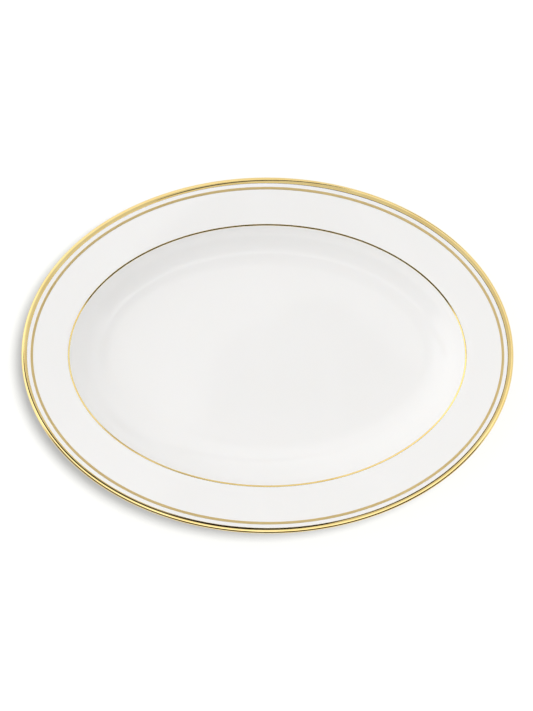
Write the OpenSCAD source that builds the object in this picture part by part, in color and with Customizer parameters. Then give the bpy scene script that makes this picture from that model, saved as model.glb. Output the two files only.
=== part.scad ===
// Oval serving platter in white bone china, trimmed with three rings of gold.
// One cross-section is carried round an oval, so the rim keeps the same width all the way round.
// Origin: centre of the foot's ground face. +X long axis, +Y short axis, +Z up. Units: millimetres.

/* [Outline] */
// Length over the lip, along X
platter_length = 330; // [310:1:350]
// Width over the lip, along Y
platter_width = 239; // [228:1:252]

/* [Heights] */
// Height of the lip above the table
platter_height = 27; // [25:0.5:32]
// Height of the floor's upper face above the table
floor_top = 7.2; // [6.5:0.1:9]
// Thickness of the floor and of the well's wall
wall = 4.2; // [3.6:0.1:4.8]

/* [Rim] */
// Half the rim's thickness at the lip
lip_radius = 1.7; // [1.4:0.05:2]
// Distance over which the lip rounds off on top
lip_round = 3.5; // [3:0.1:3.6]
// Distance over which the lip rounds off underneath
lip_round_under = 2.2; // [1.8:0.1:2.5]
// Fall of the rim from the lip to the verge, in degrees
rim_fall = 8.5; // [6:0.5:11]
// Extra fall of the rim's underside, which thickens it inward, in degrees
underside_fall = 1.2; // [0.5:0.1:2]
// Distance of the verge, the shoulder round the well, from the lip
rim_width = 31.6; // [28:0.1:36]

/* [Well] */
// Radius of the shoulder at the verge
verge_radius = 3; // [2.4:0.1:4]
// Steepest slope of the well's side, just inside the verge, in degrees
well_slope = 55; // [50:1:60]
// Radius under the rim, where it turns down into the outside of the well
under_rim_radius = 8; // [5:0.5:12]

/* [Foot] */
// Distance of the foot's middle from the lip
foot_inset = 57; // [55:0.5:60]
// Width of the flat ground face the platter stands on
foot_face = 1.6; // [1.2:0.1:2.4]
// Rounding of the foot's two lower edges
foot_edge_radius = 0.8; // [0.5:0.1:1.1]
// Rounding where the foot's sides run into the underside
foot_root_radius = 1.5; // [1:0.1:2]
// Slope of the foot's sides, in degrees
foot_slope = 76; // [70:1:82]

/* [Gold] */
// Thickness the gold is drawn at
gold_depth = 0.3; // [0.25:0.05:0.5]
// Width of the bright edge band on top of the rim, in plan
edge_band_width = 4; // [3.8:0.1:5]
// Width of the bright edge band under the rim, in plan
edge_band_return = 2.8; // [2.6:0.1:3.4]
// Distance of the matt line's outer edge from the lip
matt_line_inset = 6; // [5.8:0.1:7.5]
// Width of the matt line
matt_line_width = 1.8; // [1:0.1:2.4]
// Width of the bright line on the verge, along its curve
verge_line_width = 1.4; // [0.8:0.1:1.6]

/* [Hidden] */
$fn = 360;

china_colour = [0.95, 0.95, 0.93];
bright_gold_colour = [0.83, 0.66, 0.32];
matt_gold_colour = [0.80, 0.70, 0.45];

// The oval: eight tangent arcs that stay within 0.2 mm of a true ellipse.
half_length = platter_length / 2;
half_width = platter_width / 2;
end_turn = 35.4; // where an end arc hands over to a shoulder arc, degrees from +X
side_turn = 65.5; // where a shoulder arc hands over to a side arc
shoulder_match = 50.75; // where the shoulder arc has the ellipse's own radius
quarter = 90;

function ellipse_radius(t) =
    pow(half_length * half_width, 2) /
    pow(pow(half_length * cos(t), 2) + pow(half_width * sin(t), 2), 1.5);

shoulder_radius = ellipse_radius(shoulder_match);
// the end and side radii that close the quarter at half_length and half_width
close_x = half_length - shoulder_radius * (cos(end_turn) - cos(side_turn));
close_y = half_width - shoulder_radius * (sin(side_turn) - sin(end_turn));
closing = sin(end_turn) * cos(side_turn) - (1 - sin(side_turn)) * (1 - cos(end_turn));
end_radius = (close_y * cos(side_turn) - close_x * (1 - sin(side_turn))) / closing;
side_radius = (close_x * sin(end_turn) - close_y * (1 - cos(end_turn))) / closing;

end_centre = [half_length - end_radius, 0];
shoulder_centre = end_centre
    + (end_radius - shoulder_radius) * [cos(end_turn), sin(end_turn)];
side_centre = [0, half_width - side_radius];

// The cross-section: [distance in from the lip, height]. Slopes fall inward.
function up_from(slope) = [sin(slope), cos(slope)];
function along(slope) = [cos(slope), -sin(slope)];
// points on a fillet about c, from one slope to another; a negative radius hollows upward
function arc(c, r, from, to, steps) =
    [for (i = [0:steps]) c + r * up_from(from + (to - from) * i / steps)];
// the point on a falling line through p, at a distance in from the lip
function on_line(p, slope, inset) =
    p + along(slope) * (inset - p[0]) / cos(slope);

floor_under = floor_top - wall;
inner_edge = 72; // where the swept ring hands over to the middle of the floor
middle_overlap = 4;

// The lip: a rounded nose, blunter underneath, on a rim that thickens inward. Its tip is at
// distance 0; side is 1 on top and -1 underneath; sink draws the nose smaller all round.
lip_steps = 9;
under_fall = rim_fall + underside_fall;
middle_fall = rim_fall + underside_fall / 2;
function nose_point(reach, side, sink, turn) =
    let (in_from_tip = reach - (reach - sink) * sin(turn),
        half = (lip_radius - sink) * cos(turn) + in_from_tip * tan(underside_fall / 2))
    in_from_tip * along(middle_fall) + side * half * up_from(middle_fall);
function nose(reach, side, sink) =
    [for (i = [0:lip_steps]) nose_point(reach, side, sink, quarter * i / lip_steps)];
crest = max([for (p = nose(lip_round, 1, 0)) p[1]]);
lip_tip = [0, platter_height - crest];
rim_top = lip_tip + nose_point(lip_round, 1, 0, 0);
rim_under = lip_tip + nose_point(lip_round_under, -1, 0, 0);

// verge shoulder, then the hollow side of the well down to the floor
verge_slope = (rim_fall + well_slope) / 2;
verge_centre_inset = rim_width - verge_radius * sin(verge_slope);
verge_centre =
    on_line(rim_top, rim_fall, verge_centre_inset + verge_radius * sin(rim_fall))
    - verge_radius * up_from(rim_fall);
side_top = verge_centre + verge_radius * up_from(well_slope);
well_radius = (side_top[1] - floor_top) / (1 - cos(well_slope));
well_centre = side_top + well_radius * up_from(well_slope);
bowl_radius = well_radius + wall;

// hollow under the rim, tangent to the rim's underside and to the bowl
under_reach = (well_centre - rim_under) * up_from(under_fall) + under_rim_radius;
bowl_slope = under_fall + acos(under_reach / (bowl_radius + under_rim_radius));
under_centre = well_centre - (bowl_radius + under_rim_radius) * up_from(bowl_slope);

// foot
foot_outer = [foot_inset - foot_face / 2, foot_edge_radius];
foot_inner = [foot_inset + foot_face / 2, foot_edge_radius];
foot_side = foot_outer - foot_edge_radius * up_from(foot_slope);
root_reach = (well_centre - foot_side) * up_from(foot_slope) + foot_root_radius;
root_slope = foot_slope - acos(root_reach / (bowl_radius + foot_root_radius));
root_centre = well_centre - (bowl_radius + foot_root_radius) * up_from(root_slope);
inner_side = foot_inner - foot_edge_radius * up_from(-foot_slope);
inner_root_height = floor_under - foot_root_radius;
inner_root_inset = inner_side[0] + foot_root_radius * sin(foot_slope)
    + (inner_root_height + foot_root_radius * cos(foot_slope) - inner_side[1])
    / tan(foot_slope);
inner_root = [inner_root_inset, inner_root_height];

// steps in each rounding
verge_steps = 3;
well_steps = 18;
under_steps = 8;
bowl_steps = 14;
foot_steps = 6;

// gold edges
verge_line_turn = verge_line_width / verge_radius * 90 / PI;
verge_line_from = verge_slope - verge_line_turn;
verge_line_to = verge_slope + verge_line_turn;
band_top = on_line(rim_top, rim_fall, edge_band_width);
band_under = on_line(rim_under, under_fall, edge_band_return);
matt_outer = on_line(rim_top, rim_fall, matt_line_inset);
matt_inner = on_line(rim_top, rim_fall, matt_line_inset + matt_line_width);
rim_sink = gold_depth * up_from(rim_fall);
under_sink = gold_depth * up_from(under_fall);

function reversed(p) = [for (i = [len(p) - 1:-1:0]) p[i]];
// round the lip from underneath to the top
function lip_path(sink) =
    let (over = reversed(nose(lip_round, 1, sink)))
    [for (p = concat(nose(lip_round_under, -1, sink), [for (i = [1:lip_steps]) over[i]]))
        lip_tip + p];

edge_band_section = concat(
    [band_under],
    lip_path(0),
    [band_top, band_top - rim_sink],
    reversed(lip_path(gold_depth)),
    [band_under + under_sink]
);

matt_line_section =
    [matt_outer, matt_inner, matt_inner - rim_sink, matt_outer - rim_sink];

function verge_arc(r, from, to) = arc(verge_centre, r, from, to, verge_steps);
verge_line_section = concat(
    verge_arc(verge_radius, verge_line_from, verge_line_to),
    verge_arc(verge_radius - gold_depth, verge_line_to, verge_line_from)
);

body_section = concat(
    [band_under, band_under + under_sink],
    lip_path(gold_depth),
    [band_top - rim_sink, band_top],
    [matt_outer, matt_outer - rim_sink, matt_inner - rim_sink, matt_inner],
    verge_arc(verge_radius, rim_fall, verge_line_from),
    verge_arc(verge_radius - gold_depth, verge_line_from, verge_line_to),
    verge_arc(verge_radius, verge_line_to, well_slope),
    arc(well_centre, -well_radius, well_slope * (1 - 1 / well_steps), 0, well_steps - 1),
    [[inner_edge, floor_top], [inner_edge, floor_under]],
    arc(inner_root, foot_root_radius, 0, -foot_slope, foot_steps),
    arc(foot_inner, -foot_edge_radius, -foot_slope, 0, foot_steps),
    arc(foot_outer, -foot_edge_radius, 0, foot_slope, foot_steps),
    arc(root_centre, foot_root_radius, foot_slope, root_slope, foot_steps),
    arc(well_centre, -bowl_radius,
        root_slope + (bowl_slope - root_slope) / bowl_steps, bowl_slope, bowl_steps - 1),
    arc(under_centre, under_rim_radius,
        bowl_slope + (under_fall - bowl_slope) / under_steps, under_fall, under_steps - 1)
);

// A length as a coarse step and the fine remainder: each keeps its own digits when the shape is
// written out, so neighbouring arcs meet exactly.
coarse_step = 0.01;
function coarse(v) = round(v / coarse_step) * coarse_step;
module shifted(v) {
    c = [for (x = v) coarse(x)];
    translate(c)
        translate(v - c)
            children();
}

// one arc of the ring: the section turned about centre, from angle start through turn
module swept_arc(section, centre, radius, start, turn) {
    shifted([centre[0], centre[1], 0])
        rotate_extrude(angle = turn, start = start)
            shifted([radius, 0])
                polygon([for (p = section) [-p[0], p[1]]]);
}

// the section carried all the way round the oval
module swept_ring(section) {
    shoulder_turn = side_turn - end_turn;
    side_half = quarter - side_turn;
    for (half = [0, 1]) {
        way = 1 - 2 * half;
        about = 180 * half;
        swept_arc(section, way * end_centre, end_radius, about - end_turn, 2 * end_turn);
        swept_arc(section, way * shoulder_centre, shoulder_radius,
            about + end_turn, shoulder_turn);
        swept_arc(section, way * side_centre, side_radius, about + side_turn, 2 * side_half);
        swept_arc(section, way * [-shoulder_centre[0], shoulder_centre[1]], shoulder_radius,
            about + 180 - side_turn, shoulder_turn);
    }
}

// corners of a quarter of the oval, drawn a set distance in from the lip and clear of the axes
corner_steps = 4;
corner_gap = 4;
function arc_corners(centre, radius, from, to) =
    [for (i = [0:corner_steps])
        let (t = from + (to - from) * i / corner_steps)
        centre + radius * [cos(t), sin(t)]];
function quarter_corners(inset) = concat(
    arc_corners(end_centre, end_radius - inset, corner_gap, end_turn),
    arc_corners(side_centre, side_radius - inset, side_turn, quarter - corner_gap)
);

// The middle of the floor, inside the swept ring.
module floor_middle() {
    corners = quarter_corners(inner_edge - middle_overlap);
    back = reversed(corners);
    translate([0, 0, floor_under])
        linear_extrude(height = wall)
            polygon(concat(
                corners,
                [for (p = back) [-p[0], p[1]]],
                [for (p = corners) -p],
                [for (p = back) [p[0], -p[1]]]
            ));
}

// Rim, well and foot: pressed and fired as one piece of bone china.
module china_body() {
    color(china_colour)
        union() {
            swept_ring(body_section);
            floor_middle();
        }
}

// Burnished gold round the lip, wrapping onto the underside.
module edge_gold_band() {
    color(bright_gold_colour)
        swept_ring(edge_band_section);
}

// Satin gold line just inside the edge band.
module matt_gold_line() {
    color(matt_gold_colour)
        swept_ring(matt_line_section);
}

// Fine bright gold line on the shoulder of the well.
module verge_gold_line() {
    color(bright_gold_colour)
        swept_ring(verge_line_section);
}

china_body();
edge_gold_band();
matt_gold_line();
verge_gold_line();
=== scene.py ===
"""Oval bone china serving platter with gold banding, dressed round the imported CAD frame."""

import logging
import math
from dataclasses import dataclass, field
from enum import Enum
from typing import Any

import bmesh
import bpy
from mathutils import Matrix, Vector


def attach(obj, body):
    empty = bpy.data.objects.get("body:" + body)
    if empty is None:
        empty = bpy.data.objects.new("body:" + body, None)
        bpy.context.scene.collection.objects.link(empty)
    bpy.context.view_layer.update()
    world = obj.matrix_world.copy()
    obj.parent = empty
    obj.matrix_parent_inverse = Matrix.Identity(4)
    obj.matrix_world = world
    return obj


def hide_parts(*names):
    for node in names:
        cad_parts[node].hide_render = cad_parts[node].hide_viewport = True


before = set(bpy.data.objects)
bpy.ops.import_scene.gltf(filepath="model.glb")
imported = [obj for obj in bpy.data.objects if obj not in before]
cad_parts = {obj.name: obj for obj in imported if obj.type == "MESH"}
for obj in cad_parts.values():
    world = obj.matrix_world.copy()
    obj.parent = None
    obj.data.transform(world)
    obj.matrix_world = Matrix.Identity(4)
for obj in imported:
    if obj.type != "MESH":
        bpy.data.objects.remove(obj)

LOG = logging.getLogger("serving_platter")
MM = 0.001
WHITE = (1.0, 1.0, 1.0, 1.0)

Colour = tuple[float, float, float, float]
SectionPoint = tuple[float, float, float]


def from_hex(code: str) -> Colour:
    """Turn an sRGB hex colour into the linear colour that shaders take.

    Args:
        code: Six hex digits, with or without a leading hash.

    Returns:
        Linear red, green, blue and an alpha of one.
    """
    digits = code.lstrip("#")
    channels = [int(digits[i : i + 2], 16) / 255.0 for i in (0, 2, 4)]
    linear = [c / 12.92 if c <= 0.04045 else ((c + 0.055) / 1.055) ** 2.4 for c in channels]
    return (linear[0], linear[1], linear[2], 1.0)


def feed(node: bpy.types.Node, inputs: dict[Any, Any]) -> None:
    """Give a node its input values and links.

    Args:
        node: The node to feed.
        inputs: Socket name or number to a value, to the output socket that feeds it, or to a
            node whose first output in use feeds it.
    """
    for name, value in inputs.items():
        if isinstance(value, bpy.types.Node):
            value = next(socket for socket in value.outputs if socket.enabled)
        if isinstance(value, bpy.types.NodeSocket):
            node.id_data.links.new(value, node.inputs[name])
        else:
            node.inputs[name].default_value = value


def add_node(
    tree: bpy.types.NodeTree, kind: str, inputs: dict[Any, Any] | None = None, **settings: Any
) -> bpy.types.Node:
    """Add a node with its settings, its values and its links.

    Args:
        tree: The node tree to add to.
        kind: The node's Blender type name.
        inputs: What to feed it, as feed() takes it.
        **settings: Attributes to set on the node itself.

    Returns:
        The new node.
    """
    node = tree.nodes.new(kind)
    for name, value in settings.items():
        setattr(node, name, value)
    feed(node, inputs or {})
    return node


def per_mm(size_mm: float) -> float:
    """Give the pattern scale, on coordinates in metres, that makes a feature size_mm across."""
    return 1.0 / (size_mm * MM)


class Ring(Enum):
    """The three rings of gold, by their place on the rim."""

    EDGE = "edge_gold_band"
    MATT = "matt_gold_line"
    VERGE = "verge_gold_line"


# ---------------------------------------------------------------------------------------------
# Finishes
# ---------------------------------------------------------------------------------------------


def new_material(name: str) -> tuple[bpy.types.Material, bpy.types.NodeTree, bpy.types.Node]:
    """Make an empty material with a Principled shader wired to its output.

    Args:
        name: What the material is called.

    Returns:
        The material, its node tree and its Principled shader.
    """
    material = bpy.data.materials.new(name)
    material.use_nodes = True
    tree = material.node_tree
    tree.nodes.clear()
    shader = add_node(tree, "ShaderNodeBsdfPrincipled")
    add_node(tree, "ShaderNodeOutputMaterial", {"Surface": shader.outputs[0]})
    return material, tree, shader


@dataclass(frozen=True)
class GlazedChina:
    """Bone china under a clear gloss glaze, dipped and fired.

    The body is a warm, faintly translucent white. The glaze over it is glassy: it gives sharp
    reflections that swim a little, because the glaze settles in waves a few millimetres long,
    and it carries a rare pinhole.
    """

    name: str = "bone_china_clear_gloss_glaze"
    body_colour: str = "F4F3F2"
    cloud_colour: str = "F2F1EF"
    cloud_mm: float = 45.0
    body_roughness: tuple[float, float] = (0.32, 0.40)
    see_through: float = 0.08
    see_through_mm: float = 1.5
    see_through_tint: tuple[float, float, float] = (1.0, 0.85, 0.7)
    wave_mm: float = 7.0
    wave_height_mm: float = 0.0025
    ripple_mm: float = 1.6
    ripple_height_mm: float = 0.0005
    pinhole_spacing_mm: float = 24.0
    pinhole_mm: float = 0.35
    pinhole_depth_mm: float = 0.03
    glaze_roughness: float = 0.035
    glaze_ior: float = 1.4

    def material(self) -> bpy.types.Material:
        """Build the glaze and the china under it.

        Returns:
            The material.
        """
        material, tree, shader = new_material(self.name)
        place = add_node(tree, "ShaderNodeTexCoord").outputs["Object"]
        clouds, wave, ripple = (
            add_node(tree, "ShaderNodeTexNoise", {"Vector": place, "Scale": per_mm(size)})
            for size in (self.cloud_mm, self.wave_mm, self.ripple_mm)
        )
        body = add_node(
            tree,
            "ShaderNodeMix",
            {"Factor": clouds, "A": from_hex(self.body_colour), "B": from_hex(self.cloud_colour)},
            data_type="RGBA",
        )
        smooth, rough = self.body_roughness
        body_rough = add_node(
            tree, "ShaderNodeMapRange", {"Value": clouds, "To Min": smooth, "To Max": rough}
        )
        cells = add_node(
            tree,
            "ShaderNodeTexVoronoi",
            {"Vector": place, "Scale": per_mm(self.pinhole_spacing_mm)},
        )
        pit = add_node(
            tree,
            "ShaderNodeMapRange",
            {"Value": cells, "From Max": self.pinhole_mm / self.pinhole_spacing_mm},
            interpolation_type="SMOOTHSTEP",
        )
        waved = add_node(
            tree, "ShaderNodeBump", {"Distance": self.wave_height_mm * MM, "Height": wave}
        )
        rippled = add_node(
            tree,
            "ShaderNodeBump",
            {"Distance": self.ripple_height_mm * MM, "Height": ripple, "Normal": waved},
        )
        pitted = add_node(
            tree,
            "ShaderNodeBump",
            {"Distance": self.pinhole_depth_mm * MM, "Height": pit, "Normal": rippled},
        )
        feed(shader, {
            "Base Color": body,
            "Roughness": body_rough,
            "Normal": pitted,
            "Specular IOR Level": 0.0,
            "Subsurface Weight": self.see_through,
            "Subsurface Radius": self.see_through_tint,
            "Subsurface Scale": self.see_through_mm * MM,
            "Coat Weight": 1.0,
            "Coat Roughness": self.glaze_roughness,
            "Coat IOR": self.glaze_ior,
            "Coat Normal": pitted,
        })
        return material


@dataclass(frozen=True)
class GroundFoot:
    """Bare bone china where the foot was wiped of glaze and ground flat after firing.

    It is a dry, chalky cream with the fine scratches of the grinding stone and a trace of grey
    rubbed into it by shelves and tables.
    """

    name: str = "bare_bone_china_ground_flat"
    clean_colour: str = "E9E4D8"
    rubbed_colour: str = "C9C3B6"
    rubbed_mm: float = 20.0
    rubbed_share: tuple[float, float] = (0.45, 0.75)
    grit_mm: float = 0.35
    grit_roughness: tuple[float, float] = (0.65, 0.85)
    scratch_height_mm: float = 0.012

    def material(self) -> bpy.types.Material:
        """Build the bare ground china.

        Returns:
            The material.
        """
        material, tree, shader = new_material(self.name)
        place = add_node(tree, "ShaderNodeTexCoord").outputs["Object"]
        shelf_wear = add_node(
            tree,
            "ShaderNodeTexNoise",
            {"Vector": place, "Scale": per_mm(self.rubbed_mm), "Detail": 4.0},
        )
        grit = add_node(
            tree,
            "ShaderNodeTexNoise",
            {"Vector": place, "Scale": per_mm(self.grit_mm), "Detail": 3.0},
        )
        low, high = self.rubbed_share
        rubbed = add_node(
            tree, "ShaderNodeMapRange", {"Value": shelf_wear, "From Min": low, "From Max": high}
        )
        colour = add_node(
            tree,
            "ShaderNodeMix",
            {"Factor": rubbed, "A": from_hex(self.clean_colour), "B": from_hex(self.rubbed_colour)},
            data_type="RGBA",
        )
        smooth, rough = self.grit_roughness
        roughness = add_node(
            tree, "ShaderNodeMapRange", {"Value": grit, "To Min": smooth, "To Max": rough}
        )
        scratched = add_node(
            tree, "ShaderNodeBump", {"Distance": self.scratch_height_mm * MM, "Height": grit}
        )
        feed(shader, {"Base Color": colour, "Roughness": roughness, "Normal": scratched})
        return material


@dataclass(frozen=True)
class FiredGold:
    """Gold painted on over the glaze with a banding brush, and fired.

    Burnished, it is a soft mirror with faint brush streaks that run with the ring; left matt, it
    spreads the light and keeps one even colour all the way round. In random patches along the
    streaks the film lies thinner, and there the colour goes browner.
    """

    name: str
    thick_colour: str
    thin_colour: str
    smooth: float
    rough: float
    streak_mm: float
    streak_height_mm: float
    grain_mm: float
    grain_height_mm: float
    streak_stretch: float = 0.012
    patch_mm: float = 18.0
    cover_share: tuple[float, float] = (0.1, 0.45)
    streak_share: tuple[float, float] = (0.25, 0.75)

    def material(self) -> bpy.types.Material:
        """Build the gold.

        Returns:
            The material.
        """
        material, tree, shader = new_material(self.name)
        place = add_node(tree, "ShaderNodeTexCoord").outputs["Object"]
        across = add_node(
            tree, "ShaderNodeAttribute", attribute_name="across", attribute_type="GEOMETRY"
        ).outputs["Fac"]
        # a streak is long with the ring and narrow across it
        slow = add_node(
            tree,
            "ShaderNodeVectorMath",
            {0: place, 1: (self.streak_stretch, self.streak_stretch, 0.0)},
            operation="MULTIPLY",
        )
        fast = add_node(tree, "ShaderNodeCombineXYZ", {"Z": across})
        path = add_node(tree, "ShaderNodeVectorMath", {0: slow, 1: fast}, operation="ADD")
        streaks, grain, patches = (
            add_node(
                tree,
                "ShaderNodeTexNoise",
                {"Vector": vector, "Scale": per_mm(size), "Detail": detail},
            )
            for vector, size, detail in (
                (path, self.streak_mm, 3.0),
                (place, self.grain_mm, 3.0),
                (place, self.patch_mm, 2.0),
            )
        )
        cover = add_node(tree, "ShaderNodeMath", {0: streaks, 1: patches}, operation="MULTIPLY")
        low, high = self.cover_share
        thickness = add_node(
            tree, "ShaderNodeMapRange", {"Value": cover, "From Min": low, "From Max": high}
        )
        colour = add_node(
            tree,
            "ShaderNodeMix",
            {
                "Factor": thickness,
                "A": from_hex(self.thin_colour),
                "B": from_hex(self.thick_colour),
            },
            data_type="RGBA",
        )
        low, high = self.streak_share
        roughness = add_node(
            tree,
            "ShaderNodeMapRange",
            {
                "Value": streaks,
                "From Min": low,
                "From Max": high,
                "To Min": self.smooth,
                "To Max": self.rough,
            },
        )
        brushed = add_node(
            tree, "ShaderNodeBump", {"Distance": self.streak_height_mm * MM, "Height": streaks}
        )
        grained = add_node(
            tree,
            "ShaderNodeBump",
            {"Distance": self.grain_height_mm * MM, "Height": grain, "Normal": brushed},
        )
        feed(shader, {
            "Base Color": colour,
            "Metallic": 1.0,
            "Roughness": roughness,
            "Normal": grained,
        })
        return material


BURNISHED_GOLD = FiredGold(
    name="burnished_gold_over_glaze",
    thick_colour="F6E1A2",
    thin_colour="E8CA84",
    smooth=0.05,
    rough=0.09,
    streak_mm=0.30,
    streak_height_mm=0.0006,
    grain_mm=0.8,
    grain_height_mm=0.0003,
)
MATT_GOLD = FiredGold(
    name="matt_gold_over_glaze",
    thick_colour="E8D198",
    thin_colour="DEC58C",
    smooth=0.48,
    rough=0.58,
    streak_mm=0.35,
    streak_height_mm=0.002,
    grain_mm=0.25,
    grain_height_mm=0.004,
)


# ---------------------------------------------------------------------------------------------
# Shape
# ---------------------------------------------------------------------------------------------


def up_from(slope: float) -> Vector:
    """Give the upward unit normal of a line that falls inward by slope radians."""
    return Vector((math.sin(slope), math.cos(slope)))


def arc(centre: Vector, radius: float, start: float, end: float, steps: int) -> list[Vector]:
    """Walk round a fillet from one slope to another.

    Args:
        centre: The fillet's centre.
        radius: Its radius; a negative one hollows upward.
        start: Slope of the first point, in radians.
        end: Slope of the last point, in radians.
        steps: How many stretches to cut it into.

    Returns:
        The points, both ends included.
    """
    return [centre + radius * up_from(start + (end - start) * i / steps) for i in range(steps + 1)]


def line(start: Vector, end: Vector, steps: int) -> list[Vector]:
    """Cut a straight line into steps, both ends left out."""
    return [start.lerp(end, i / steps) for i in range(1, steps)]


@dataclass(frozen=True)
class PlatterSection:
    """The cross-section that the platter is swept from, as (inset from lip, height), in mm.

    The rim is a thin tapering leaf with a rounded nose; it turns over a shoulder at the verge
    and hollows down to a flat floor. A narrow foot stands under the edge of the floor.
    """

    height: float = 27.0
    floor_top: float = 7.2
    wall: float = 4.2
    lip_radius: float = 1.7
    nose: float = 3.5
    nose_under: float = 2.2
    rim_fall: float = math.radians(8.5)
    underside_fall: float = math.radians(1.2)
    rim_width: float = 31.6
    verge_radius: float = 3.0
    well_slope: float = math.radians(55.0)
    under_rim_radius: float = 8.0
    foot_inset: float = 57.0
    foot_face: float = 1.6
    foot_edge_radius: float = 0.8
    foot_root_radius: float = 1.5
    foot_slope: float = math.radians(76.0)
    inner_edge: float = 70.0
    lip_steps: int = 16
    rim_steps: int = 14
    shoulder_steps: int = 12
    side_steps: int = 26
    foot_edge_steps: int = 5
    foot_root_steps: int = 6
    bowl_steps: int = 18
    hollow_steps: int = 7
    under_rim_steps: int = 10

    def from_tip(self, along: float, side: int) -> Vector:
        """Give a point on the rim's skin, measured from the tip of the lip.

        Args:
            along: Distance in from the tip of the lip, along the rim.
            side: 1 for the top face, -1 for the underside.

        Returns:
            The step from the tip to the point.
        """
        fall = self.rim_fall + self.underside_fall / 2
        nose = self.nose if side > 0 else self.nose_under
        short = max(0.0, 1.0 - along / nose)
        swell = math.sqrt(max(0.0, 1.0 - short * short))
        half = self.lip_radius * swell + along * math.tan(self.underside_fall / 2)
        middle = along * Vector((math.cos(fall), -math.sin(fall)))
        return middle + side * half * up_from(fall)

    def rim_point(self, along: float, side: int) -> Vector:
        """Give a point on the rim's skin, with the crown of the lip at the platter's height."""
        crest = max(self.from_tip(s, 1).y for s in self.nose_walk(1))
        return Vector((0.0, self.height - crest)) + self.from_tip(along, side)

    def nose_walk(self, side: int) -> list[float]:
        """Give distances in from the tip, crowded where the nose turns fastest."""
        nose = self.nose if side > 0 else self.nose_under
        turns = [math.pi / 2 * i / self.lip_steps for i in range(self.lip_steps + 1)]
        return [nose * (1 - math.cos(turn)) for turn in turns]

    def verge_centre(self) -> Vector:
        """Give the centre of the shoulder's curve."""
        middle = (self.rim_fall + self.well_slope) / 2
        inset = self.rim_width - self.verge_radius * math.sin(middle)
        touch = inset + self.verge_radius * math.sin(self.rim_fall)
        # past the nose the rim's top is straight, so any two points give its line
        a, b = self.rim_point(10.0, 1), self.rim_point(20.0, 1)
        on_rim = a + (b - a) * (touch - a.x) / (b.x - a.x)
        return on_rim - self.verge_radius * up_from(self.rim_fall)

    def well(self) -> tuple[Vector, float]:
        """Give the centre and radius of the well's hollow side."""
        top = self.verge_centre() + self.verge_radius * up_from(self.well_slope)
        radius = (top.y - self.floor_top) / (1 - math.cos(self.well_slope))
        return top + radius * up_from(self.well_slope), radius

    def upper(self) -> list[Vector]:
        """Walk the upper face from the tip of the lip in to the edge of the floor."""
        nose = [self.rim_point(s, 1) for s in self.nose_walk(1)]
        verge = self.verge_centre()
        shoulder = arc(
            verge, self.verge_radius, self.rim_fall, self.well_slope, self.shoulder_steps
        )
        centre, radius = self.well()
        side = arc(centre, -radius, self.well_slope, 0.0, self.side_steps)[1:]
        return nose + line(nose[-1], shoulder[0], self.rim_steps) + shoulder + side

    def lower(self) -> list[Vector]:
        """Walk the lower face from the edge of the floor out to the tip of the lip."""
        centre, radius = self.well()
        bowl = radius + self.wall
        under_fall = self.rim_fall + self.underside_fall
        nose = [self.rim_point(s, -1) for s in self.nose_walk(-1)]

        reach = (centre - nose[-1]).dot(up_from(under_fall)) + self.under_rim_radius
        bowl_slope = under_fall + math.acos(reach / (bowl + self.under_rim_radius))
        under_centre = centre - (bowl + self.under_rim_radius) * up_from(bowl_slope)

        outer = Vector((self.foot_inset - self.foot_face / 2, self.foot_edge_radius))
        inner = Vector((self.foot_inset + self.foot_face / 2, self.foot_edge_radius))
        side = outer - self.foot_edge_radius * up_from(self.foot_slope)
        root_reach = (centre - side).dot(up_from(self.foot_slope)) + self.foot_root_radius
        root_slope = self.foot_slope - math.acos(root_reach / (bowl + self.foot_root_radius))
        root_centre = centre - (bowl + self.foot_root_radius) * up_from(root_slope)

        inner_side = inner - self.foot_edge_radius * up_from(-self.foot_slope)
        root_height = self.floor_top - self.wall - self.foot_root_radius
        rise = root_height + self.foot_root_radius * math.cos(self.foot_slope) - inner_side.y
        run = self.foot_root_radius * math.sin(self.foot_slope) + rise / math.tan(self.foot_slope)
        inner_root = Vector((inner_side.x + run, root_height))

        edge, root = self.foot_edge_radius, self.foot_root_radius
        path = arc(inner_root, root, 0.0, -self.foot_slope, self.foot_root_steps)
        path += arc(inner, -edge, -self.foot_slope, 0.0, self.foot_edge_steps)
        path += arc(outer, -edge, 0.0, self.foot_slope, self.foot_edge_steps)
        path += arc(root_centre, root, self.foot_slope, root_slope, self.foot_root_steps)
        path += arc(centre, -bowl, root_slope, bowl_slope, self.bowl_steps)[1:]
        hollow = self.under_rim_radius
        path += arc(under_centre, hollow, bowl_slope, under_fall, self.hollow_steps)[1:]
        path += line(path[-1], nose[-1], self.under_rim_steps)
        return path + nose[::-1]


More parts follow.
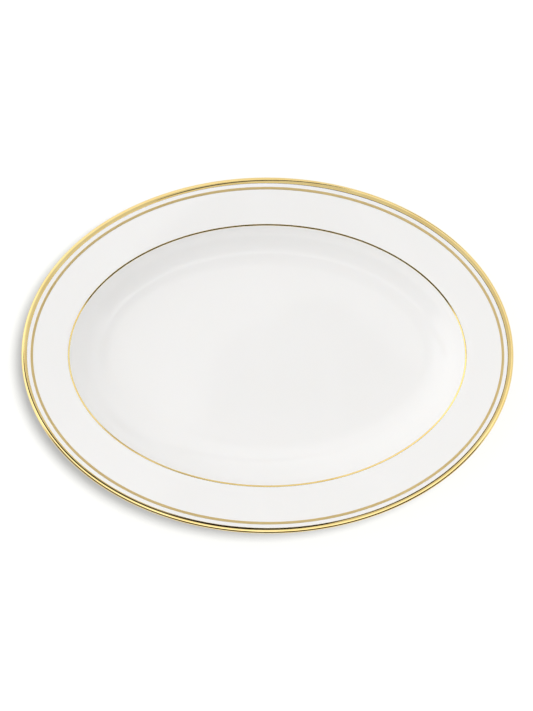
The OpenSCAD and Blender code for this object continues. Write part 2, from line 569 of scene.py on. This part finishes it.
@dataclass
class OvalSweep:
    """Geometry Nodes that carry a section round an oval, at right angles to the lip all the way.

    Every ring keeps the same distance from the lip, which a scaled oval wouldn't. Towards the
    middle of the floor, where such rings would cross, the rings shrink to the centre instead.
    """

    length: float = 330.0
    width: float = 239.0
    around: int = 600
    weld: float = 0.001
    bare_below: float = 0.3
    tree: bpy.types.NodeTree = field(init=False)
    sockets: dict[str, str] = field(init=False, default_factory=dict)

    def __post_init__(self) -> None:
        """Build the node tree once, for every ring to share."""
        self.tree = self.build_tree()

    def build_tree(self) -> bpy.types.NodeTree:
        """Build the sweep.

        Returns:
            The node tree, with named inputs.
        """
        tree = bpy.data.node_groups.new("oval_sweep", "GeometryNodeTree")
        inputs = (
            ("Section", "NodeSocketObject"),
            ("Length", "NodeSocketFloat"),
            ("Width", "NodeSocketFloat"),
            ("Around", "NodeSocketInt"),
            ("Finish", "NodeSocketMaterial"),
            ("Foot finish", "NodeSocketMaterial"),
            ("Foot height", "NodeSocketFloat"),
        )
        for name, kind in inputs:
            socket = tree.interface.new_socket(name=name, in_out="INPUT", socket_type=kind)
            self.sockets[name] = socket.identifier
        tree.interface.new_socket(
            name="Geometry", in_out="OUTPUT", socket_type="NodeSocketGeometry"
        )
        given = add_node(tree, "NodeGroupInput").outputs
        place = add_node(tree, "GeometryNodeInputPosition")
        section = add_node(tree, "GeometryNodeObjectInfo", {"Object": given["Section"]})
        section = section.outputs["Geometry"]
        count = add_node(
            tree, "GeometryNodeAttributeDomainSize", {"Geometry": section}, component="MESH"
        ).outputs["Point Count"]
        columns = add_node(
            tree, "ShaderNodeMath", {0: given["Around"], 1: 1.0}, operation="ADD"
        )
        grid = add_node(
            tree, "GeometryNodeMeshGrid", {"Vertices X": columns, "Vertices Y": count}
        )

        # which column round the oval, and which point of the section, each vertex is
        index = add_node(tree, "GeometryNodeInputIndex")
        middle = add_node(tree, "ShaderNodeMath", {0: index, 1: 0.5}, operation="ADD")
        columns_in = add_node(tree, "ShaderNodeMath", {0: middle, 1: count}, operation="DIVIDE")
        column = add_node(tree, "ShaderNodeMath", {0: columns_in}, operation="FLOOR")
        before = add_node(tree, "ShaderNodeMath", {0: column, 1: count}, operation="MULTIPLY")
        row = add_node(tree, "ShaderNodeMath", {0: index, 1: before}, operation="SUBTRACT")
        point = add_node(
            tree,
            "GeometryNodeSampleIndex",
            {"Geometry": section, "Value": place, "Index": row},
            data_type="FLOAT_VECTOR",
            domain="POINT",
        )
        inset, height, pull = add_node(tree, "ShaderNodeSeparateXYZ", {0: point}).outputs
        travelled = add_node(
            tree, "GeometryNodeInputNamedAttribute", {"Name": "across"}, data_type="FLOAT"
        ).outputs["Attribute"]
        across = add_node(
            tree,
            "GeometryNodeSampleIndex",
            {"Geometry": section, "Value": travelled, "Index": row},
            data_type="FLOAT",
            domain="POINT",
        )

        # the lip is the ellipse, and the section steps in from it along the ellipse's normal
        turned = add_node(
            tree, "ShaderNodeMath", {0: column, 1: 2 * math.pi}, operation="MULTIPLY"
        )
        turn = add_node(
            tree, "ShaderNodeMath", {0: turned, 1: given["Around"]}, operation="DIVIDE"
        )
        cosine = add_node(tree, "ShaderNodeMath", {0: turn}, operation="COSINE")
        sine = add_node(tree, "ShaderNodeMath", {0: turn}, operation="SINE")
        circle = add_node(tree, "ShaderNodeCombineXYZ", {"X": cosine, "Y": sine})
        size = add_node(
            tree, "ShaderNodeCombineXYZ", {"X": given["Length"], "Y": given["Width"]}
        )
        crossed = add_node(
            tree, "ShaderNodeCombineXYZ", {"X": given["Width"], "Y": given["Length"]}
        )
        doubled = add_node(
            tree, "ShaderNodeVectorMath", {0: circle, 1: size}, operation="MULTIPLY"
        )
        lip = add_node(
            tree, "ShaderNodeVectorMath", {0: doubled, "Scale": 0.5}, operation="SCALE"
        )
        outward = add_node(
            tree, "ShaderNodeVectorMath", {0: circle, 1: crossed}, operation="MULTIPLY"
        )
        unit = add_node(tree, "ShaderNodeVectorMath", {0: outward}, operation="NORMALIZE")
        step = add_node(
            tree, "ShaderNodeVectorMath", {0: unit, "Scale": inset}, operation="SCALE"
        )
        plan = add_node(tree, "ShaderNodeVectorMath", {0: lip, 1: step}, operation="SUBTRACT")
        drawn_in = add_node(
            tree, "ShaderNodeVectorMath", {0: plan, "Scale": pull}, operation="SCALE"
        )
        rise = add_node(tree, "ShaderNodeCombineXYZ", {"Z": height})
        spot = add_node(
            tree, "ShaderNodeVectorMath", {0: drawn_in, 1: rise}, operation="ADD"
        )

        shaped = add_node(
            tree, "GeometryNodeSetPosition", {"Geometry": grid.outputs["Mesh"], "Position": spot}
        )
        marked = add_node(
            tree,
            "GeometryNodeStoreNamedAttribute",
            {"Geometry": shaped, "Name": "across", "Value": across},
            data_type="FLOAT",
            domain="POINT",
        )
        closed = add_node(
            tree, "GeometryNodeMergeByDistance", {"Geometry": marked, "Distance": self.weld * MM}
        )
        smooth = add_node(tree, "GeometryNodeSetShadeSmooth", {"Geometry": closed})
        real = add_node(tree, "GeometryNodeRealizeInstances", {"Geometry": smooth})
        finished = add_node(
            tree, "GeometryNodeSetMaterial", {"Geometry": real, "Material": given["Finish"]}
        )
        face_height = add_node(tree, "ShaderNodeSeparateXYZ", {0: place}).outputs["Z"]
        on_foot = add_node(
            tree,
            "FunctionNodeCompare",
            {"A": face_height, "B": given["Foot height"]},
            data_type="FLOAT",
            operation="LESS_THAN",
        )
        footed = add_node(
            tree,
            "GeometryNodeSetMaterial",
            {"Geometry": finished, "Selection": on_foot, "Material": given["Foot finish"]},
        )
        add_node(tree, "NodeGroupOutput", {"Geometry": footed})
        return tree

    def section_object(self, points: list[SectionPoint]) -> bpy.types.Object:
        """Put a section's points in a mesh, with the distance walked along it.

        Args:
            points: (inset, height, pull) each; the first two in millimetres, and pull from 1 on
                the rim to 0 at the centre of the floor.

        Returns:
            An object that only the sweep reads.
        """
        mesh = bpy.data.meshes.new("section")
        mesh.from_pydata([(u * MM, z * MM, pull) for u, z, pull in points], [], [])
        across = mesh.attributes.new("across", "FLOAT", "POINT")
        walked = 0.0
        for i, (u, z, _) in enumerate(points):
            if i:
                walked += math.hypot(u - points[i - 1][0], z - points[i - 1][1])
            across.data[i].value = walked * MM
        section = bpy.data.objects.new("section", mesh)
        bpy.context.scene.collection.objects.link(section)
        return section

    def sweep(
        self,
        name: str,
        points: list[SectionPoint],
        finish: bpy.types.Material,
        foot_finish: bpy.types.Material | None = None,
    ) -> bpy.types.Object:
        """Carry a section round the oval and keep the result as a plain mesh.

        Args:
            name: The piece's name.
            points: The section, as section_object takes it.
            finish: The piece's material.
            foot_finish: The material of the faces that touch the table.

        Returns:
            The piece, at the origin.
        """
        section = self.section_object(points)
        carrier = bpy.data.objects.new("carrier", bpy.data.meshes.new("carrier"))
        bpy.context.scene.collection.objects.link(carrier)
        modifier = carrier.modifiers.new("sweep", "NODES")
        modifier.node_group = self.tree
        values = {
            "Section": section,
            "Length": self.length * MM,
            "Width": self.width * MM,
            "Around": self.around,
            "Finish": finish,
            "Foot finish": foot_finish or finish,
            "Foot height": self.bare_below * MM if foot_finish else -1.0,
        }
        for key, value in values.items():
            modifier[self.sockets[key]] = value
        evaluated = carrier.evaluated_get(bpy.context.evaluated_depsgraph_get())
        mesh = bpy.data.meshes.new_from_object(evaluated)
        mesh.name = name
        carrier.modifiers.clear()
        for helper in (carrier, section):
            data = helper.data
            bpy.data.objects.remove(helper)
            bpy.data.meshes.remove(data)
        turn_outwards(mesh)
        piece = bpy.data.objects.new(name, mesh)
        bpy.context.scene.collection.objects.link(piece)
        return piece


def turn_outwards(mesh: bpy.types.Mesh) -> None:
    """Point every face of a closed mesh outwards and shade it smooth."""
    work = bmesh.new()
    work.from_mesh(mesh)
    bmesh.ops.recalc_face_normals(work, faces=work.faces)
    for face in work.faces:
        face.smooth = True
    work.to_mesh(mesh)
    work.free()


def place_piece(piece: bpy.types.Object, node: str) -> None:
    """Let a piece ride on the platter's one body, in place of its CAD node."""
    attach(piece, "root")
    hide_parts(node)
    LOG.info("%s: %d faces, stands for %s", piece.name, len(piece.data.polygons), node)


@dataclass
class ChinaBody:
    """The platter itself: rim, well, floor and foot in one piece of bone china."""

    sweep: OvalSweep
    section: PlatterSection
    glaze: GlazedChina = GlazedChina()
    foot: GroundFoot = GroundFoot()
    middle_rings: int = 6

    def outline(self) -> list[SectionPoint]:
        """Walk the section from the middle of the floor, round the lip, to the middle below.

        Returns:
            (inset, height, pull) points in millimetres.
        """
        part = self.section
        pulls = [i / self.middle_rings for i in range(self.middle_rings)]
        top = [(part.inner_edge, part.floor_top, p) for p in pulls]
        top.append((part.inner_edge, part.floor_top, 1.0))
        upper = [(p.x, p.y, 1.0) for p in reversed(part.upper())]
        lower = [(p.x, p.y, 1.0) for p in reversed(part.lower())]
        under = [(part.inner_edge, part.floor_top - part.wall, p) for p in reversed(pulls)]
        under.insert(0, (part.inner_edge, part.floor_top - part.wall, 1.0))
        return top + upper + lower[1:] + under

    def build(self) -> bpy.types.Object:
        """Sweep the body and dress it.

        Returns:
            The china body.
        """
        piece = self.sweep.sweep(
            "glazed_china_body", self.outline(), self.glaze.material(), self.foot.material()
        )
        place_piece(piece, "china_body")
        return piece


@dataclass
class GoldBanding:
    """The three rings of gold, each a film that feathers out at its edges and wraps the china."""

    sweep: OvalSweep
    section: PlatterSection
    film: float = 0.035
    bedded: float = 0.12
    feather: float = 0.12
    tucked: float = 0.004
    edge_width: float = 3.65
    edge_return: float = 2.8
    matt_inset: float = 5.95
    matt_width: float = 1.8
    verge_width: float = 1.4
    top_steps: int = 3
    return_steps: int = 2
    line_steps: int = 8

    def path(self, ring: Ring) -> list[Vector]:
        """Walk the china's skin under one ring of gold, inner edge first.

        Args:
            ring: Which ring.

        Returns:
            Points on the skin.
        """
        part = self.section
        if ring is Ring.EDGE:
            top = [part.rim_point(s, 1) for s in part.nose_walk(1)]
            under = [part.rim_point(s, -1) for s in part.nose_walk(-1)]
            end = part.rim_point(self.edge_width, 1)
            low_end = part.rim_point(self.edge_return, -1)
            over = [end] + line(end, top[-1], self.top_steps) + top[::-1]
            return over + under[1:] + line(under[-1], low_end, self.return_steps) + [low_end]
        if ring is Ring.MATT:
            outer = part.rim_point(self.matt_inset, 1)
            inner = part.rim_point(self.matt_inset + self.matt_width, 1)
            return [inner] + line(inner, outer, self.line_steps) + [outer]
        half = self.verge_width / part.verge_radius / 2
        middle = (part.rim_fall + part.well_slope) / 2
        verge = part.verge_centre()
        return arc(verge, part.verge_radius, middle + half, middle - half, self.line_steps)

    def film_section(self, ring: Ring) -> list[SectionPoint]:
        """Wrap a thin closed film round the skin under one ring.

        Args:
            ring: Which ring.

        Returns:
            Closed section points, the first repeated at the end.
        """
        path = self.path(ring)
        walked = [0.0]
        for a, b in zip(path, path[1:]):
            walked.append(walked[-1] + (b - a).length)
        outer, inner = [], []
        for i, p in enumerate(path):
            step = path[min(i + 1, len(path) - 1)] - path[max(i - 1, 0)]
            away = Vector((step.y, -step.x)).normalized()
            from_edge = min(walked[i], walked[-1] - walked[i])
            full = min(1.0, from_edge / self.feather)
            outer.append(p + away * (self.film * math.sqrt(full) - self.tucked * (1 - full)))
            inner.append(p - away * self.bedded)
        loop = outer + inner[::-1] + [outer[0]]
        return [(p.x, p.y, 1.0) for p in loop]

    def build(self) -> list[bpy.types.Object]:
        """Sweep the three rings and dress them.

        Returns:
            The rings.
        """
        bright, matt = BURNISHED_GOLD.material(), MATT_GOLD.material()
        pieces = []
        for ring in Ring:
            finish = matt if ring is Ring.MATT else bright
            piece = self.sweep.sweep(ring.value + "_film", self.film_section(ring), finish)
            place_piece(piece, ring.value)
            pieces.append(piece)
        return pieces


# ---------------------------------------------------------------------------------------------
# Studio
# ---------------------------------------------------------------------------------------------


@dataclass(frozen=True)
class WhiteSweep:
    """A white acrylic table top, lit through from below so that it photographs as plain white."""

    name: str = "white_acrylic_table"
    colour: str = "959593"
    roughness: float = 0.6
    specular: float = 0.1
    glow: float = 0.24

    def material(self) -> bpy.types.Material:
        """Build the table's finish.

        Returns:
            The material.
        """
        material, _, shader = new_material(self.name)
        feed(shader, {
            "Base Color": from_hex(self.colour),
            "Roughness": self.roughness,
            "Specular IOR Level": self.specular,
            "Emission Color": WHITE,
            "Emission Strength": self.glow,
        })
        return material


@dataclass(frozen=True)
class BlackFelt:
    """Matt black felt, stretched over the flags that hang above the table."""

    name: str = "black_felt"
    colour: str = "140C07"
    frayed: float = 0.22

    def material(self) -> bpy.types.Material:
        """Build the felt.

        Returns:
            The material.
        """
        material, tree, shader = new_material(self.name)
        cover = add_node(
            tree, "ShaderNodeAttribute", attribute_name="cover", attribute_type="GEOMETRY"
        ).outputs["Fac"]
        solid = add_node(
            tree,
            "ShaderNodeMapRange",
            {"Value": cover, "From Max": self.frayed},
            interpolation_type="SMOOTHSTEP",
        )
        feed(shader, {
            "Base Color": from_hex(self.colour),
            "Roughness": 1.0,
            "Specular IOR Level": 0.0,
            "Alpha": solid,
        })
        return material


@dataclass(frozen=True)
class SkyPatch:
    """A soft-edged part of the white tent round the table, brighter or darker than the rest.

    Angles are in degrees: azimuth counts from +X toward +Y, zenith counts down from straight up.
    The blur gives how far each kind of edge fades over. Later patches lie over earlier ones.
    """

    azimuth: tuple[float, float]
    zenith: tuple[float, float]
    blur: tuple[float, float]
    strength: float


@dataclass(frozen=True)
class Flag:
    """A narrow black flag over the table, drawn as a run of round-ended strips, in metres."""

    spine: tuple[tuple[float, float], ...]
    half_width: tuple[float, ...]


@dataclass(frozen=True)
class DistantLight:
    """A soft light so far off that it shines everywhere at the same slant, from toward."""

    name: str
    strength: float
    spread: float
    toward: tuple[float, float, float]


TABLE_LIGHT = DistantLight(
    name="table_light",
    strength=5.8,
    spread=math.radians(20.0),
    toward=(math.tan(math.radians(16.5)), math.tan(math.radians(12.5)), 1.0),
)
FILL_LIGHT = DistantLight(
    name="fill_light",
    strength=0.4,
    spread=math.radians(50.0),
    toward=(-0.35, -1.0, 0.6),
)

ALL_ROUND = (-400.0, 400.0)
SKY_PATCHES = (
    SkyPatch(azimuth=ALL_ROUND, zenith=(30.0, 120.0), blur=(10.0, 15.0), strength=1.2),
    SkyPatch(azimuth=(-60.0, 110.0), zenith=(52.0, 74.0), blur=(40.0, 12.0), strength=0.78),
    SkyPatch(azimuth=(152.0, 206.0), zenith=(50.0, 76.0), blur=(40.0, 15.0), strength=1.75),
    SkyPatch(azimuth=(190.0, 330.0), zenith=(20.0, 45.0), blur=(50.0, 24.0), strength=1.75),
    SkyPatch(azimuth=(215.0, 320.0), zenith=(40.0, 79.0), blur=(8.0, 6.0), strength=0.02),
    SkyPatch(azimuth=(289.0, 300.0), zenith=(37.0, 52.0), blur=(5.0, 4.0), strength=0.05),
    SkyPatch(azimuth=(45.0, 64.0), zenith=(59.0, 72.0), blur=(5.0, 4.0), strength=0.05),
)
FLAGS = (
    Flag(
        spine=(
            (-0.38, -0.052),
            (-0.20, -0.124),
            (-0.11, -0.128),
            (-0.045, -0.138),
            (-0.018, -0.126),
            (-0.012, -0.048),
        ),
        half_width=(0.040, 0.049, 0.054, 0.056, 0.056),
    ),
    Flag(spine=((0.066, -0.056), (0.026, -0.020)), half_width=(0.048,)),
    Flag(spine=((-0.088, 0.132), (0.045, 0.312), (0.11, 0.41)), half_width=(0.028, 0.030)),
)


@dataclass
class Studio:
    """Table, soft lights and the camera above the platter.

    The platter's length takes up frame_share of the picture's width. The camera leans by lean_x
    toward +X and by lean_y toward +Y.
    """

    table_side: float = 6.0
    platter_length: float = 0.330
    lens_mm: float = 135.0
    sensor_mm: float = 27.0
    frame_share: float = 0.92383
    lean_x: float = math.radians(2.0)
    lean_y: float = math.radians(3.5)
    aim: tuple[float, float, float] = (-0.0001, 0.0005, 0.026)
    sky: float = 0.78
    flag_height: float = 0.4
    round_steps: int = 12

    def build_table(self) -> bpy.types.Object:
        """Lay the table under the foot.

        Returns:
            The table top.
        """
        mesh = bpy.data.meshes.new("table")
        work = bmesh.new()
        bmesh.ops.create_grid(work, x_segments=4, y_segments=4, size=self.table_side / 2)
        work.to_mesh(mesh)
        work.free()
        mesh.materials.append(WhiteSweep().material())
        table = bpy.data.objects.new("table", mesh)
        bpy.context.scene.collection.objects.link(table)
        return table

    def build_camera(self) -> bpy.types.Object:
        """Hang the camera over the platter, leaning a little to the right and away.

        Returns:
            The camera.
        """
        data = bpy.data.cameras.new("camera")
        data.sensor_fit = "HORIZONTAL"
        data.sensor_width = self.sensor_mm
        data.lens = self.lens_mm
        data.clip_start, data.clip_end = 0.05, self.table_side * 5
        camera = bpy.data.objects.new("camera", data)
        distance = self.platter_length / self.frame_share * self.lens_mm / self.sensor_mm
        way = Vector((math.tan(self.lean_x), math.tan(self.lean_y), 1.0)).normalized()
        target = Vector(self.aim)
        right = Vector((0.0, 1.0, 0.0)).cross(way).normalized()
        up = way.cross(right)
        camera.location = target + way * distance
        camera.rotation_euler = Matrix((right, up, way)).transposed().to_euler()
        bpy.context.scene.collection.objects.link(camera)
        bpy.context.scene.camera = camera
        return camera

    def build_flag(self, flag: Flag) -> bpy.types.Object:
        """Hang one black flag over the table, where only the gold and the glaze mirror it.

        Args:
            flag: The flag's outline.

        Returns:
            The flag.
        """
        work = bmesh.new()
        cover = work.verts.layers.float.new("cover")
        for start, end, half in zip(flag.spine, flag.spine[1:], flag.half_width):
            way = math.atan2(end[1] - start[1], end[0] - start[0])
            rounds = []
            for (x, y), turn in ((start, way + math.pi / 2), (end, way - math.pi / 2)):
                # the felt covers fully along the spine and frays to nothing at the rim
                hub = work.verts.new((x, y, self.flag_height))
                hub[cover] = 1.0
                steps = range(self.round_steps + 1)
                angles = [turn + math.pi * i / self.round_steps for i in steps]
                rim = [
                    work.verts.new(
                        (x + half * math.cos(a), y + half * math.sin(a), self.flag_height)
                    )
                    for a in angles
                ]
                for here, there in zip(rim, rim[1:]):
                    work.faces.new((hub, here, there))
                rounds.append((hub, rim))
            (hub_a, rim_a), (hub_b, rim_b) = rounds
            work.faces.new((hub_a, rim_a[-1], rim_b[0], hub_b))
            work.faces.new((hub_b, rim_b[-1], rim_a[0], hub_a))
        mesh = bpy.data.meshes.new("black_flag")
        work.to_mesh(mesh)
        work.free()
        mesh.materials.append(BlackFelt().material())
        board = bpy.data.objects.new("black_flag", mesh)
        bpy.context.scene.collection.objects.link(board)
        board.visible_camera = False
        board.visible_diffuse = False
        board.visible_shadow = False
        return board

    def build_sky(self) -> None:
        """Put a white tent round the table, with its bright and its dark parts."""
        world = bpy.data.worlds.new("studio")
        bpy.context.scene.world = world
        world.use_nodes = True
        tree = world.node_tree
        tree.nodes.clear()
        way = add_node(tree, "ShaderNodeTexCoord").outputs["Generated"]
        x, y, z = add_node(tree, "ShaderNodeSeparateXYZ", {0: way}).outputs
        # the direction's height is held within -1 and 1, where an arccosine exists
        level = add_node(tree, "ShaderNodeClamp", {"Value": z, "Min": -1.0, "Max": 1.0})
        down = add_node(tree, "ShaderNodeMath", {0: level}, operation="ARCCOSINE")
        zenith = add_node(tree, "ShaderNodeMath", {0: down}, operation="DEGREES")
        round_z = add_node(tree, "ShaderNodeMath", {0: y, 1: x}, operation="ARCTAN2")
        azimuth = add_node(tree, "ShaderNodeMath", {0: round_z}, operation="DEGREES")
        strength: Any = self.sky
        for patch in SKY_PATCHES:
            start, end = patch.azimuth
            # how far the direction is from the patch's middle, the short way round
            shifted = add_node(
                tree, "ShaderNodeMath", {0: azimuth, 1: 540.0 - (start + end) / 2}, operation="ADD"
            )
            turned = add_node(
                tree, "ShaderNodeMath", {0: shifted, 1: 360.0}, operation="FLOORED_MODULO"
            )
            signed = add_node(
                tree, "ShaderNodeMath", {0: turned, 1: 180.0}, operation="SUBTRACT"
            )
            aside = add_node(tree, "ShaderNodeMath", {0: signed}, operation="ABSOLUTE")
            side_blur, level_blur = patch.blur[0] / 2, patch.blur[1] / 2
            share = None
            for angle, edge, fade in (
                (aside, (end - start) / 2, -side_blur),
                (zenith, patch.zenith[0], level_blur),
                (zenith, patch.zenith[1], -level_blur),
            ):
                within = add_node(
                    tree,
                    "ShaderNodeMapRange",
                    {"Value": angle, "From Min": edge - fade, "From Max": edge + fade},
                )
                share = within if share is None else add_node(
                    tree, "ShaderNodeMath", {0: share, 1: within}, operation="MULTIPLY"
                )
            strength = add_node(
                tree,
                "ShaderNodeMix",
                {"Factor": share, "A": strength, "B": patch.strength},
                data_type="FLOAT",
            )
        back = add_node(tree, "ShaderNodeBackground", {"Color": WHITE, "Strength": strength})
        add_node(tree, "ShaderNodeOutputWorld", {"Surface": back})

    def build_distant_light(
        self, light: DistantLight, table: bpy.types.Object, on_table: bool
    ) -> bpy.types.Object:
        """Add a soft distant light that lights either only the table or all but the table.

        The one that lights the platter is too broad to be mirrored, so the gold doesn't show it.

        Args:
            light: Its name, strength, spread and direction.
            table: The table top.
            on_table: Whether it lights the table or everything else.

        Returns:
            The light.
        """
        data = bpy.data.lights.new(light.name, "SUN")
        data.energy = light.strength
        data.angle = light.spread
        lamp = bpy.data.objects.new(light.name, data)
        lamp.rotation_euler = Vector(light.toward).to_track_quat("Z", "Y").to_euler()
        lamp.visible_glossy = on_table
        bpy.context.scene.collection.objects.link(lamp)
        reach = bpy.data.collections.new(light.name + "_reach")
        reach.objects.link(table)
        linking = reach.collection_objects[0].light_linking
        linking.link_state = "INCLUDE" if on_table else "EXCLUDE"
        lamp.light_linking.receiver_collection = reach
        return lamp

    def build(self) -> None:
        """Set up the whole studio."""
        scene = bpy.context.scene
        scene.view_settings.view_transform = "Standard"
        scene.view_settings.look = "None"
        table = self.build_table()
        self.build_camera()
        self.build_sky()
        self.build_distant_light(TABLE_LIGHT, table, on_table=True)
        self.build_distant_light(FILL_LIGHT, table, on_table=False)
        for flag in FLAGS:
            self.build_flag(flag)


def main() -> None:
    """Build the platter and its studio."""
    logging.basicConfig(level=logging.INFO, format="%(name)s: %(message)s")
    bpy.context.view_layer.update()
    sweep = OvalSweep()
    section = PlatterSection()
    ChinaBody(sweep, section).build()
    GoldBanding(sweep, section).build()
    Studio().build()


if __name__ == "__main__":
    main()
